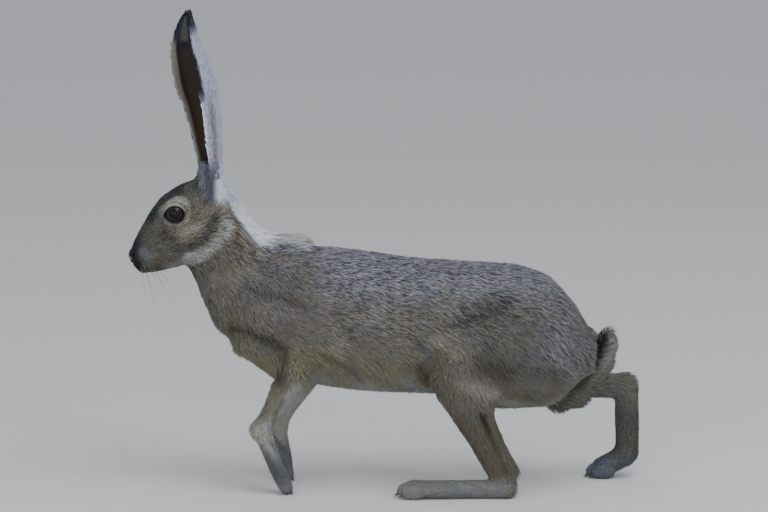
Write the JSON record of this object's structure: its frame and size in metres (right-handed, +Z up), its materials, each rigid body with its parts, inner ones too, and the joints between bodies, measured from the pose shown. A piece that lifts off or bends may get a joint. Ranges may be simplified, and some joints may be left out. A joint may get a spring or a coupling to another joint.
{
  "type": "black-tailed jackrabbit",
  "caption": "Life-size black-tailed jackrabbit standing mid-stride, with tall upright ears, one hind leg stretched back and a black-topped tail.",
  "frame": {"origin": "on the floor under the middle of the animal's bounding box", "axes": "+X from nose to tail, +Y toward the animal's right side, +Z up; the nose points toward -X"},
  "size_m": [0.474, 0.1248, 0.441],
  "materials": {
    "fur": "matt grizzled coat",
    "eye": "wet gloss"
  },
  "bodies": {
    "root": {"head": "fur", "eye_left": "eye", "eye_right": "eye", "ear_left": "fur", "ear_right": "fur", "neck": "fur", "torso": "fur", "rump": "fur", "tail": "fur", "upper_foreleg_left": "fur", "upper_foreleg_right": "fur", "forearm_left": "fur", "forearm_right": "fur", "forepaw_left": "fur", "forepaw_right": "fur", "thigh_left": "fur", "thigh_right": "fur", "shank_left": "fur", "shank_right": "fur", "hind_foot_left": "fur", "hind_foot_right": "fur"}
  },
  "joints": []
}
